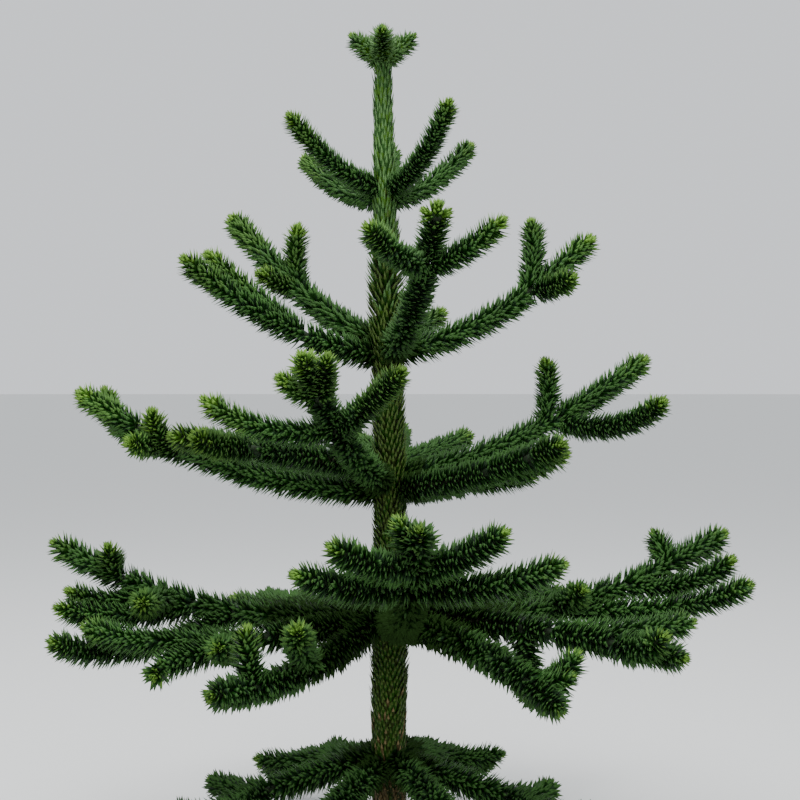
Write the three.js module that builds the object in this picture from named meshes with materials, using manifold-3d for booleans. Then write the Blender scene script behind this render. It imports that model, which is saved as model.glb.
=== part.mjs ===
// A young monkey puzzle tree, about two metres tall, as a trunk, its main boughs and its
// masses of foliage. Millimetres, +Z up. The origin is the middle of the flat cut at ground
// level, the viewer stands at -Y, and +X is to the viewer's right.
//
// The tree grows one ring of arms a year, so it is built as six rings. Every shoot is a slim
// core whose skin rises into broad, pointed, overlapping leaves, as on the real tree.
import * as THREE from "three";
import { mergeVertices } from "three/addons/utils/BufferGeometryUtils.js";
import Module from "manifold-3d";

const wasm = await Module();
wasm.setup();

// Driving dimensions
const CROWN_HEIGHT = 1972;        // where the top shoots leave the leader
const TRUNK_TOP = 1925;           // where the trunk ends and the crown's stem begins
const GAP = 0.3;                  // between neighbouring solids
const ELBOW_ROOM = 5;             // least air between two neighbours' leaves
const LEAF_ROWS = 4;              // leaves in each ring round a shoot
const LEAF_PITCH = 54;            // from one ring of leaves to the next
const TRUNK_ROWS = 8;
const TRUNK_PITCH = 54;
const CURVE_STEPS = 24;           // samples of a shoot's middle line in the room test

// Radii of the woody core of each order of shoot, at its foot and near its tip
const CORES = [[13.5, 11], [11.5, 9.5]];
const LEAF_REACHES = [[44, 39], [39, 36]]; // from the middle line to the leaf tips, alike
const LEAF_LEAN = 34;             // how far a leaf tip lies ahead of its root
const TIP_CLOSING = 0.85;         // the last ring of leaves closes over the shoot's tip
const LEAF_SIZES = [1, 0.75, 0.5]; // a leaf short of room is tried again smaller
const LEAF_UNEVENNESS = 0.1;      // leaves differ by up to this share in length
const LEAF_STRAY = 0.12;          // and stray sideways by up to this share of their place
const CROWN_SCALE = 0.72;         // the crown's shoots are this year's, so they are slimmer
const CROWN_POINT = 4;            // the leader's bud stands this far over the crown's shoots
const LEAD = 0.15;                // share of a side shoot's length that runs along its parent

// The seeded rule for pairs of side shoots: the first pair's place, the step to the next, how
// much shorter each pair is, the least angle away from the arm, and how far all this varies
const PAIRS = {
  at: 0.5, step: 0.25, shorter: 0.4, turn: 44,
  atSpread: 0.05, turnSpread: 12, reachSpread: 0.1, liftSpread: 0.4,
};

// The trunk: [height, sideways shift of its middle line, core radius, how far leaves stand out]
const TRUNK = [
  [0, 0, 52, 0],
  [45, 0, 43, 3],
  [120, -2, 38, 5],
  [240, -4, 36, 7],
  [420, -2, 35, 14],
  [585, 0, 33, 14],
  [920, 0, 29, 14],
  [1245, -8, 25, 20],
  [1400, -10, 23, 27],
  [1540, -12, 20, 16],
  [1640, -14, 18, 14],
  [TRUNK_TOP, -18, 14, 13],
];

// A ring of arms: its height, and where along each arm the bough gives way to the foliage.
// An arm's heading is counted anticlockwise from +X, seen from above: 270 faces the viewer.
// reach and rise lead from the trunk to the arm's tip, sag bows it down in between, and step
// sets its foot above or below the ring. A fork is a side shoot: where it leaves its arm, how
// far it turns away, its reach and rise. Arms with pairs get theirs from the seeded rule.
const fork = (at, turn, reach, rise, sag = 12) => ({ at, turn, reach, rise, sag });
const RINGS = [
  {
    name: "top", height: 1640, bough: 0, girth: 0.72, slenderness: 0.82, arms: [
      { name: "left", heading: 203, reach: 258, rise: 176, sag: 38, step: 12 },
      { name: "back_left", heading: 141, reach: 281, rise: 134, sag: 35, step: -10 },
      { name: "front_right", heading: 318, reach: 220, rise: 205, sag: 50, step: 8 },
      { name: "right", heading: 25, reach: 250, rise: 160, sag: 40, step: -12 },
      { name: "back", heading: 86, reach: 205, rise: 145, sag: 30, step: 10 },
    ],
  },
  {
    name: "upper", height: 1245, bough: 0, girth: 1, slenderness: 1, arms: [
      { name: "left", heading: 193, reach: 515, rise: 245, sag: 50, step: -12,
        forks: [fork(0.36, -18, 260, 215, 0)] },
      { name: "back_left", heading: 153, reach: 470, rise: 358, sag: 45, step: 12,
        forks: [fork(0.5, -75, 10, 180), fork(0.5, 45, 115, 50)] },
      { name: "front", heading: 290, reach: 360, rise: 335, sag: 85, step: 4,
        forks: [fork(0.67, -60, 220, 82, 40), fork(0.65, 54, 195, 120, 32), fork(0.9, -80, 40, 25, 4),
          fork(0.9, 80, 40, 25, 4)] },
      { name: "right", heading: 5, reach: 530, rise: 305, sag: 60, step: -6,
        forks: [fork(0.62, 66, 48, 205, 16), fork(0.64, -45, 140, 40)] },
      { name: "back", heading: 84, reach: 480, rise: 170, sag: 35, step: -10,
        pairs: 1, span: 150, lift: 60 },
    ],
  },
  {
    name: "middle", height: 920, bough: 0.42, girth: 1, slenderness: 1, arms: [
      { name: "left", heading: 180, reach: 790, rise: 255, sag: 70, step: -24,
        forks: [fork(0.77, -40, 145, 113, 45), fork(0.62, 40, 103, 115, 40), fork(0.68, 55, 140, 10)] },
      { name: "near_left", heading: 203, reach: 570, rise: 95, sag: 0, step: 28,
        forks: [fork(0.62, 22, 190, 40), fork(0.6, -50, 170, 40)] },
      { name: "front_left", heading: 244, reach: 455, rise: 325, sag: 55, step: -8,
        forks: [fork(0.55, -60, 320, 80, 52), fork(0.55, 73, 220, 146, 27), fork(0.73, 39, 90, 112),
          fork(0.74, -62, 105, 62, 14)] },
      { name: "front_right", heading: 326, reach: 500, rise: 130, sag: 20, step: -20,
        forks: [fork(0.55, 38, 170, 30), fork(0.78, 30, 100, 20)] },
      { name: "right", heading: 11, reach: 685, rise: 310, sag: 55, step: 8,
        forks: [fork(0.55, 63, 18, 186, 5), fork(0.6, -46, 310, 60, 52)] },
      { name: "back_right", heading: 48, reach: 560, rise: 50, sag: 25, step: -14,
        pairs: 1, span: 190, lift: 30 },
      { name: "back", heading: 88, reach: 620, rise: 110, sag: 30, step: 8,
        forks: [fork(0.45, -38, 350, 75), fork(0.55, 40, 200, 60)] },
      { name: "back_left", heading: 134, reach: 620, rise: 120, sag: 30, step: -8,
        pairs: 1, span: 200, lift: 50 },
    ],
  },
  {
    name: "lower", height: 585, bough: 0.4, girth: 1, slenderness: 1.08, arms: [
      { name: "left", heading: 176, reach: 870, rise: 170, sag: 88, step: 14,
        forks: [fork(0.75, 35, 52, 105, 30), fork(0.43, 34, 485, -25, 65),
          fork(0.54, 21, 360, 15, 35), fork(0.62, 85, 220, 15), fork(0.66, 21, 232, 22, 37)] },
      { name: "near_left", heading: 203, reach: 625, rise: -68, sag: -34, step: -32,
        forks: [fork(0.5, -15, 452, 39, 21), fork(0.6, 50, 160, 20),
          fork(0.93, 62, 62, -8, 4)] },
      { name: "front_left", heading: 230, reach: 620, rise: -118, sag: 54, step: 20,
        forks: [fork(0.76, -60, 20, 150, 6), fork(0.47, 34, 190, 128, -4)] },
      { name: "front", heading: 275.5, reach: 705, rise: 272, sag: 110, step: 20,
        forks: [fork(0.82, -58, 230, 65, 30), fork(0.8, 52, 228, 102, 26), fork(0.72, -66, 292, 50, 33),
          fork(0.71, 66, 342, 70, 38), fork(0.89, -70, 55, 80)] },
      { name: "low_front_right", heading: 306, reach: 645, rise: -108, sag: -42, step: -22,
        forks: [fork(0.69, 40, 165, 55, 50), fork(0.8, 45, 110, 30)] },
      { name: "front_right", heading: 330, reach: 780, rise: -50, sag: -10, step: 12,
        forks: [fork(0.46, -53, 155, -118, 60), fork(0.55, 24, 350, 35, 10), fork(0.75, -22, 170, 50, 25)] },
      { name: "right", heading: 5, reach: 870, rise: 215, sag: 85, step: -8,
        forks: [fork(0.8, 130, 55, 95), fork(0.47, -23, 485, 88, 43), fork(0.45, -63, 130, 70, 0),
          fork(0.66, -20, 281, 89, 40)] },
      { name: "back_right", heading: 58, reach: 820, rise: -40, sag: 5, step: 8,
        pairs: 2, span: 270, lift: 20 },
      { name: "back_left", heading: 118, reach: 840, rise: -60, sag: 5, step: -8,
        pairs: 2, span: 280, lift: 20 },
    ],
  },
  {
    name: "bottom", height: 228, bough: 0.4, girth: 1, slenderness: 1.04, arms: [
      { name: "left", heading: 196, reach: 560, rise: -152, sag: -15, step: 8,
        pairs: 2, span: 210, lift: 0 },
      { name: "front_left", heading: 240, reach: 540, rise: -152, sag: -15, step: -8,
        pairs: 2, span: 200, lift: 0 },
      { name: "front_right", heading: 297, reach: 550, rise: -152, sag: -15, step: 8,
        pairs: 2, span: 210, lift: 0 },
      { name: "right", heading: 346, reach: 540, rise: -152, sag: -15, step: -8,
        pairs: 2, span: 200, lift: 0 },
      { name: "back_right", heading: 62, reach: 510, rise: -152, sag: -20, step: 8,
        pairs: 2, span: 180, lift: 0 },
      { name: "back_left", heading: 125, reach: 560, rise: -152, sag: -20, step: -4,
        pairs: 2, span: 210, lift: 0 },
    ],
  },
];
const CROWN = { headings: [2, 65, 122, 178, 270], reach: 84, rise: 72, sag: 8 };

// Seeds of the layout and of each solid's leaves; an arm's is counted on from the first arm's
const SEEDS = { layout: 7, trunk: 3, crown: 11, firstArm: 100 };

// Colours of the bark and of old, mid and fresh leaves
const BARK = new THREE.MeshStandardMaterial({ color: 0x4b4326, roughness: 0.85, metalness: 0 });
const OLD_LEAF = new THREE.MeshStandardMaterial({ color: 0x16281b, roughness: 0.45, metalness: 0 });
const MID_LEAF = new THREE.MeshStandardMaterial({ color: 0x24421f, roughness: 0.45, metalness: 0 });
const FRESH_LEAF = new THREE.MeshStandardMaterial({ color: 0x567a2a, roughness: 0.45, metalness: 0 });

// A small generator of repeatable random numbers between 0 and 1
function seeded(seed) {
  let state = seed;
  return () => {
    state = (state * 1664525 + 1013904223) % 4294967296;
    return state / 4294967296;
  };
}

const radians = THREE.MathUtils.degToRad;
const compass = (heading) => new THREE.Vector3(Math.cos(radians(heading)), Math.sin(radians(heading)), 0);

// The trunk's shift, core radius and leaf stand-out at any height
function trunkAt(z) {
  const upper = Math.max(1, TRUNK.findIndex((row) => row[0] >= z));
  const [a, b] = [TRUNK[upper - 1], TRUNK[upper]];
  const t = (z - a[0]) / (b[0] - a[0]);
  return { shift: a[1] + (b[1] - a[1]) * t, core: a[2] + (b[2] - a[2]) * t, leaf: a[3] + (b[3] - a[3]) * t };
}

// The middle line of a shoot, bowed down by its sag and led off along its parent
function middleLine(start, heading, spec, lead) {
  const tip = start.clone().addScaledVector(compass(heading), spec.reach);
  tip.z += spec.rise;
  const bend = start.clone().lerp(tip, 0.5).add(lead);
  bend.z -= 2 * spec.sag;
  return new THREE.QuadraticBezierCurve3(start, bend, tip);
}

// One shoot: its line, core radii and leaf reach, with samples of its line for the room test
function shoot(curve, order, girth = 1, slenderness = 1) {
  const [foot, end] = CORES[order];
  const [reach, endReach] = LEAF_REACHES[order];
  const samples = curve.getSpacedPoints(CURVE_STEPS);
  return {
    curve,
    slenderness,
    length: curve.getLength(),
    core: (t) => (foot + (end - foot) * t) * girth,
    leaf: (t) => (reach + (endReach - reach) * t) * slenderness,
    samples,
    box: new THREE.Box3().setFromPoints(samples).expandByScalar(reach * 2),
  };
}

// The side shoots of an arm: those given, or pairs dealt out along it by the seeded rule
function forksOf(arm, random) {
  if (arm.forks) return arm.forks;
  const about = (spread) => 1 - spread + 2 * spread * random();
  const forks = [];
  for (let pair = 0; pair < (arm.pairs ?? 0); pair++) {
    for (const side of [-1, 1]) {
      const at = PAIRS.at + PAIRS.step * pair + PAIRS.atSpread * random();
      const reach = arm.span * (1 - PAIRS.shorter * pair) * about(PAIRS.reachSpread);
      const turn = side * (PAIRS.turn + PAIRS.turnSpread * random());
      forks.push(fork(at, turn, reach, arm.lift * about(PAIRS.liftSpread)));
    }
  }
  return forks;
}

function sideShoots(parent, arm, random, ring) {
  return forksOf(arm, random).map((spec) => {
    const start = parent.curve.getPointAt(spec.at);
    const along = parent.curve.getTangentAt(spec.at);
    const heading = THREE.MathUtils.radToDeg(Math.atan2(along.y, along.x)) + spec.turn;
    const lead = along.multiplyScalar(LEAD * Math.hypot(spec.reach, spec.rise));
    return shoot(middleLine(start, heading, spec, lead), 1, ring.girth, ring.slenderness);
  });
}

// Rings of frames along a curve, from one share of its length to another
function framesAlong(curve, rings, first, last) {
  const frames = curve.computeFrenetFrames(rings);
  const out = [];
  for (let i = first; i <= last; i++) {
    out.push({
      centre: curve.getPointAt(i / rings),
      along: frames.tangents[i],
      side: frames.normals[i],
      over: frames.binormals[i],
      t: i / rings,
      turned: i % 2,
    });
  }
  return out;
}

// A closed shoot: a core of rings of corners, each turned half a step from the last, so that
// the skin is a net of diamonds. Each diamond is raised to a leaf tip, or stays flat where a
// leaf finds no room. The shoot ends in a point as long as pointed, or in a flat cut where
// pointed is 0.
function leafyMesh({ frames, rows, core, leaf, lean, pointed, random, hasRoom }) {
  const corners = frames.map((frame) => ringOfCorners(frame, rows, core(frame)));
  const vertices = corners.flat();
  const faces = [];
  const indexOf = (ring, corner) => ring * rows + ((corner + rows) % rows);
  const last = frames.length - 1;
  const point = vertices.length;
  if (pointed) vertices.push(frames[last].centre.clone().addScaledVector(frames[last].along, pointed));
  for (let ring = 0; ring <= last; ring++) {
    const frame = frames[ring];
    const shift = frame.turned ? 1 : 0;
    for (let corner = 0; corner < rows; corner++) {
      const a = indexOf(ring, corner);
      const b = indexOf(ring, corner + 1);
      const below = ring > 0 ? indexOf(ring - 1, corner + shift) : -1;
      const next = pointed ? point : -1;
      const above = ring < last ? indexOf(ring + 1, corner + shift) : next;
      const whole = below >= 0 && above >= 0;
      const root = [a, above, b, below].map((index) => vertices[index]);
      const tip = whole && roomyTip(root, leafTip(frame, corner, rows, leaf(frame), lean, random), hasRoom);
      if (tip) {
        const apex = vertices.push(tip) - 1;
        faces.push([b, above, apex], [above, a, apex], [a, below, apex], [below, b, apex]);
      } else {
        if (above >= 0) faces.push([a, b, above]);
        if (below >= 0) faces.push([b, a, below]);
      }
    }
  }
  for (let corner = 1; corner < rows - 1; corner++) {
    faces.push([0, corner + 1, corner]);
    if (!pointed) faces.push([indexOf(last, 0), indexOf(last, corner), indexOf(last, corner + 1)]);
  }
  const geometry = new THREE.BufferGeometry();
  const positions = vertices.flatMap((vertex) => vertex.toArray());
  geometry.setAttribute("position", new THREE.Float32BufferAttribute(positions, 3));
  geometry.setIndex(faces.flat());
  return geometry;
}

// The leaf's tip, drawn in towards its root until the leaf has room, or none
function roomyTip(root, tip, hasRoom) {
  const middle = root[0].clone().lerp(root[2], 0.5);
  const tips = LEAF_SIZES.map((size) => middle.clone().lerp(tip, size));
  return tips.find((point) => hasRoom(pointsOnLeaf(root, point)));
}

// Points spread over a leaf: its root's corners, edges and middle, its tip and its ridges
function pointsOnLeaf(root, tip) {
  const edges = root.map((point, i) => point.clone().lerp(root[(i + 1) % root.length], 0.5));
  const middle = root[0].clone().lerp(root[2], 0.5);
  const ridges = [...root, ...edges].map((point) => point.clone().lerp(tip, 0.5));
  return [...root, ...edges, middle, tip, ...ridges];
}

function outward(frame, angle) {
  return frame.side.clone().multiplyScalar(Math.cos(angle)).addScaledVector(frame.over, Math.sin(angle));
}

function ringOfCorners(frame, rows, radius) {
  const step = (2 * Math.PI) / rows;
  return Array.from({ length: rows }, (_, corner) =>
    frame.centre.clone().addScaledVector(outward(frame, (corner + 0.5 * frame.turned) * step), radius));
}

function leafTip(frame, corner, rows, reach, lean, random) {
  const step = (2 * Math.PI) / rows;
  const angle = (corner + 0.5 + 0.5 * frame.turned + LEAF_STRAY * (2 * random() - 1)) * step;
  const size = 1 + LEAF_UNEVENNESS * (2 * random() - 1);
  return frame.centre.clone()
    .addScaledVector(outward(frame, angle), reach * size)
    .addScaledVector(frame.along, lean * size);
}

// Air between a point and some shoots, measured from their cores, or within where it is less
const nearLine = new THREE.Line3();
const nearPoint = new THREE.Vector3();

function airTo(point, shoots, within) {
  let least = within;
  for (const other of shoots) {
    if (!other.box.containsPoint(point)) continue;
    for (let i = 0; i < other.samples.length - 1; i++) {
      const t = (i + 0.5) / CURVE_STEPS;
      nearLine.set(other.samples[i], other.samples[i + 1]);
      nearLine.closestPointToPoint(point, true, nearPoint);
      least = Math.min(least, nearPoint.distanceTo(point) - other.core(t));
    }
  }
  return least;
}

function airToTrunk(point) {
  const { shift, core } = trunkAt(Math.min(Math.max(point.z, 0), TRUNK_TOP));
  return Math.hypot(point.x - shift, point.y) - core;
}

// Solids
function solid(geometry) {
  const bare = geometry.clone();
  bare.deleteAttribute("normal");
  bare.deleteAttribute("uv");
  const merged = mergeVertices(bare);
  return new wasm.Manifold(new wasm.Mesh({
    numProp: 3,
    vertProperties: new Float32Array(merged.attributes.position.array),
    triVerts: new Uint32Array(merged.index.array),
  }));
}

// The largest closed body of a fused solid: sealed hollows are filled and loose scraps dropped
function largestBody(fused) {
  const bodies = fused.decompose();
  return bodies.reduce((best, body) => (body.volume() > best.volume() ? body : best));
}

function meshOf(name, fused, material) {
  const { vertProperties, triVerts, numProp } = fused.getMesh();
  const geometry = new THREE.BufferGeometry();
  const positions = [];
  for (let i = 0; i < vertProperties.length; i += numProp) {
    positions.push(vertProperties[i], vertProperties[i + 1], vertProperties[i + 2]);
  }
  geometry.setAttribute("position", new THREE.Float32BufferAttribute(positions, 3));
  geometry.setIndex(Array.from(triVerts));
  geometry.computeVertexNormals();
  const mesh = new THREE.Mesh(geometry, material);
  mesh.name = name;
  return mesh;
}

// Plan of the whole tree: every arm's shoots are laid out before any leaf is placed
function planArms() {
  const random = seeded(SEEDS.layout);
  const plans = [];
  for (const ring of RINGS) {
    for (const arm of ring.arms) {
      const height = ring.height + arm.step;
      const foot = new THREE.Vector3(trunkAt(height).shift, 0, height);
      const line = middleLine(foot, arm.heading, arm, new THREE.Vector3());
      const limb = shoot(line, 0, ring.girth, ring.slenderness);
      const rings = Math.round(limb.length / LEAF_PITCH);
      const split = Math.round(ring.bough * rings);
      plans.push({
        name: `${ring.name}_${arm.name}`,
        limb,
        rings,
        split,
        sides: sideShoots(limb, arm, random, ring),
        material: ring.name === "top" ? MID_LEAF : OLD_LEAF,
      });
    }
  }
  return plans;
}

const plans = planArms();
const crownFoot = new THREE.Vector3(trunkAt(TRUNK_TOP).shift, 0, TRUNK_TOP + GAP);
const crownTop = new THREE.Vector3(crownFoot.x, 0, CROWN_HEIGHT + CROWN.rise + CROWN_POINT);
const crownStem = shoot(new THREE.LineCurve3(crownFoot, crownTop), 0, CROWN_SCALE, CROWN_SCALE);
const crownShoots = CROWN.headings.map((heading) => {
  const start = new THREE.Vector3(crownFoot.x, 0, CROWN_HEIGHT);
  return shoot(middleLine(start, heading, CROWN, new THREE.Vector3()), 1, CROWN_SCALE, CROWN_SCALE);
});

// A leaf has room where every point tried is nearer to its own core than to a neighbour's,
// and to the trunk's where the shoot grows out of the trunk's side
function roomTest(neighbours, ownAir, byTrunk) {
  return (points) => points.every((point) => {
    const wanted = Math.max(0, ownAir(point)) + ELBOW_ROOM;
    return airTo(point, neighbours, wanted) >= wanted && (!byTrunk || airToTrunk(point) >= wanted);
  });
}

const cores = plans.map((plan) => [plan.limb, ...plan.sides]);
const crownCores = [crownStem, ...crownShoots];

function leafyShoot(frames, spec, neighbours, own, random, pointed, byTrunk = true) {
  const end = frames[frames.length - 1];
  return solid(leafyMesh({
    frames,
    rows: LEAF_ROWS,
    core: (frame) => spec.core(frame.t),
    leaf: (frame) => spec.leaf(frame.t) * (frame === end && pointed ? TIP_CLOSING : 1),
    lean: LEAF_LEAN * spec.slenderness,
    pointed,
    random,
    hasRoom: roomTest(neighbours, (point) => airTo(point, own, 2 * LEAF_LEAN), byTrunk),
  }));
}

function wholeShoot(spec, neighbours, own, random, byTrunk = true) {
  const pitch = LEAF_PITCH * spec.slenderness;
  const rings = Math.max(2, Math.round(spec.length / pitch));
  const frames = framesAlong(spec.curve, rings, 0, rings - 1);
  return leafyShoot(frames, spec, neighbours, own, random, spec.length / rings, byTrunk);
}

// The trunk, with its flare, lean and taper, and the leaves that still clothe it
function trunkFrames() {
  const rings = Math.round(TRUNK_TOP / TRUNK_PITCH);
  return Array.from({ length: rings + 1 }, (_, i) => {
    const z = (TRUNK_TOP * i) / rings;
    return {
      centre: new THREE.Vector3(trunkAt(z).shift, 0, z),
      along: new THREE.Vector3(0, 0, 1),
      side: new THREE.Vector3(1, 0, 0),
      over: new THREE.Vector3(0, 1, 0),
      t: z,
      turned: i % 2,
    };
  });
}

function trunkSolid(extra, hasRoom) {
  return solid(leafyMesh({
    frames: trunkFrames(),
    rows: TRUNK_ROWS,
    core: (frame) => trunkAt(frame.t).core + extra,
    leaf: (frame) => trunkAt(frame.t).core + trunkAt(frame.t).leaf,
    lean: LEAF_LEAN,
    pointed: 0,
    random: seeded(SEEDS.trunk),
    hasRoom,
  }));
}

const trunk = trunkSolid(0, roomTest([...cores.flat(), ...crownCores.slice(1)], airToTrunk, false));
const trunkRoom = trunkSolid(GAP / Math.cos(Math.PI / TRUNK_ROWS), () => false);

const tree = new THREE.Group();
tree.add(meshOf("trunk", trunk, BARK));

// Each arm: its bough, where it has one, and the foliage that grows on from the bough's tip
plans.forEach((plan, index) => {
  const random = seeded(SEEDS.firstArm + index);
  const own = cores[index];
  const neighbours = [...cores.filter((_, i) => i !== index).flat(), ...crownCores];
  const { limb, rings, split } = plan;
  if (split > 0) {
    const frames = framesAlong(limb.curve, rings, 0, split);
    const bough = leafyShoot(frames, limb, neighbours, own, random, 0).subtract(trunkRoom);
    tree.add(meshOf(`${plan.name}_bough`, largestBody(bough), BARK));
  }
  const frames = framesAlong(limb.curve, rings, split, rings - 1);
  if (split > 0) frames[0].centre.addScaledVector(frames[0].along, GAP);
  let mass = leafyShoot(frames, limb, neighbours, own, random, limb.length / rings);
  for (const side of plan.sides) mass = mass.add(wholeShoot(side, neighbours, own, random));
  mass = split > 0 ? mass : mass.subtract(trunkRoom);
  tree.add(meshOf(`${plan.name}_foliage`, largestBody(mass), plan.material));
});

// The crown: this year's short shoots, round the leader's tip
const crownRandom = seeded(SEEDS.crown);
let crown = wholeShoot(crownStem, cores.flat(), crownCores, crownRandom, false);
for (const side of crownShoots) {
  crown = crown.add(wholeShoot(side, cores.flat(), crownCores, crownRandom, false));
}
tree.add(meshOf("crown_foliage", largestBody(crown), FRESH_LEAF));

export default tree;
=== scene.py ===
"""A young monkey puzzle tree: bark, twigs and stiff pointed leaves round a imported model.

The file is laid out as an add-on and run as a script. Lengths are in metres, +Z is up, the
ground is at zero and the viewer stands at -Y.
"""
import math
from collections import namedtuple

import bpy
import numpy as np
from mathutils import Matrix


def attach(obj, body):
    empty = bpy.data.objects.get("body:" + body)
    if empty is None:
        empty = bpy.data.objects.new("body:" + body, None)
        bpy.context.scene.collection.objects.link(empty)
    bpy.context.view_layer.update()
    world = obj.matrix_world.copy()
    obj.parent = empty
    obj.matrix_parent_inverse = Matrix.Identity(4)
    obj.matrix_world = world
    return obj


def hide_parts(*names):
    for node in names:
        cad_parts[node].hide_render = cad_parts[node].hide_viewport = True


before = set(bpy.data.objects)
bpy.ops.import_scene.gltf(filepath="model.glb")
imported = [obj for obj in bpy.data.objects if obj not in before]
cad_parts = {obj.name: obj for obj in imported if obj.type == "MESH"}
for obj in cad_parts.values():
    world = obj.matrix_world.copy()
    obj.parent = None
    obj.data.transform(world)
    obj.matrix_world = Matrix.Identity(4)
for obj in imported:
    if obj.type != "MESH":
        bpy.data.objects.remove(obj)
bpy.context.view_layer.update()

bl_info = {
    "name": "Monkey puzzle tree",
    "version": (1, 0, 0),
    "blender": (4, 5, 0),
    "location": "View3D > Sidebar > Monkey puzzle",
    "description": "Grows a young monkey puzzle tree with bark, twigs and pointed leaves",
    "category": "Add Mesh",
}

# The trunk: height, sideways shift of its middle line, radius, how far its leaves stand out
TRUNK_TOP = 1.925
TRUNK = (
    (0, 0, 0.052, 0),
    (0.045, 0, 0.043, 0.003),
    (0.12, -0.002, 0.038, 0.005),
    (0.24, -0.004, 0.036, 0.007),
    (0.42, -0.002, 0.035, 0.014),
    (0.585, 0, 0.033, 0.014),
    (0.92, 0, 0.029, 0.014),
    (1.245, -0.008, 0.025, 0.02),
    (1.4, -0.01, 0.023, 0.027),
    (1.54, -0.012, 0.02, 0.016),
    (1.64, -0.014, 0.018, 0.014),
    (TRUNK_TOP, -0.018, 0.014, 0.013),
)
TRUNK_HEIGHTS, TRUNK_SHIFTS, TRUNK_RADII, TRUNK_LEAF_REACHES = zip(*TRUNK)

# Radii of the wood of each order of shoot, and the reach of its leaves, at foot and tip
WOOD_RADII = ((0.0135, 0.011), (0.0115, 0.0095))
LEAF_REACHES = ((0.044, 0.039), (0.039, 0.036))
LEAD = 0.15                       # share of a side shoot that runs along its parent
LINE_STEPS = 201                  # points that measure a shoot's middle line
THINNEST_END = 0.06               # how far the rounding of a shoot's end goes
STRAIGHT = 1e-9                   # a line with less bend than this is straight

# The seeded rule for pairs of side shoots
PAIR_PLACE = 0.5
PAIR_STEP = 0.25
PAIR_SHORTER = 0.4
PAIR_TURN = 44
PAIR_SPREADS = {"place": 0.05, "turn": 12, "reach": 0.1, "lift": 0.4}
PLAN_SEED = 7
SEED_FACTOR, SEED_STEP, SEED_RANGE = 1664525, 1013904223, 2 ** 32

# A side shoot: the share of its arm where it leaves it, its turn in degrees, reach, rise and sag
Fork = namedtuple("Fork", "at turn reach rise sag", defaults=(0.012,))

# An arm: its heading, anticlockwise from +X seen from above, its reach, rise and sag, the step of
# its foot above the ring's height, and its side shoots, or pairs of them with a span and a lift
Arm = namedtuple("Arm", "name heading reach rise sag step forks pairs span lift", defaults=((), 0, 0, 0))

# A ring: its height, the share of an arm that is bough, and factors for its wood and its leaves
Ring = namedtuple("Ring", "name height bough girth slenderness arms")

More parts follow.
